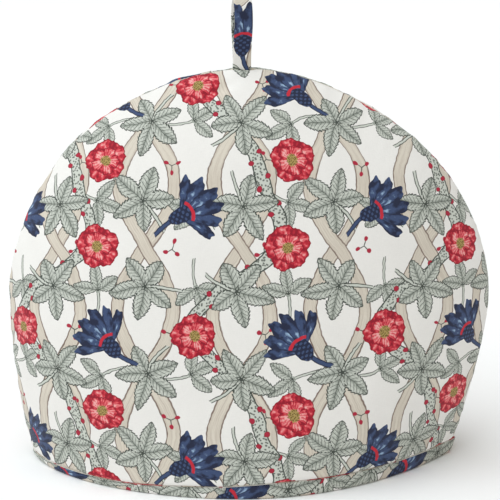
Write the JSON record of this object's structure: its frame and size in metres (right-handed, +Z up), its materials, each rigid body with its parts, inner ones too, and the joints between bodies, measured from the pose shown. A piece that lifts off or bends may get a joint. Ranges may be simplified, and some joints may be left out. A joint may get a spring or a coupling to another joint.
{
  "type": "tea cosy",
  "caption": "Padded dome-shaped tea cosy in printed cotton, open underneath, that slips over a teapot to keep it warm, with a hanging loop in the top seam.",
  "frame": {"origin": "on the floor, at the bottom centre of the bounding box", "axes": "+Z up from the hem, +X to the right as the front is seen, the front panel faces -Y"},
  "size_m": [0.34, 0.1704, 0.328],
  "materials": {
    "printed_cotton": "plain-woven cotton in cream, printed with beige ribbons, sage leaves, red flowers and blue flowers; matt"
  },
  "bodies": {
    "root": {"front_panel": "printed_cotton", "back_panel": "printed_cotton", "hem_band": "printed_cotton", "hanging_loop": "printed_cotton"}
  },
  "joints": []
}
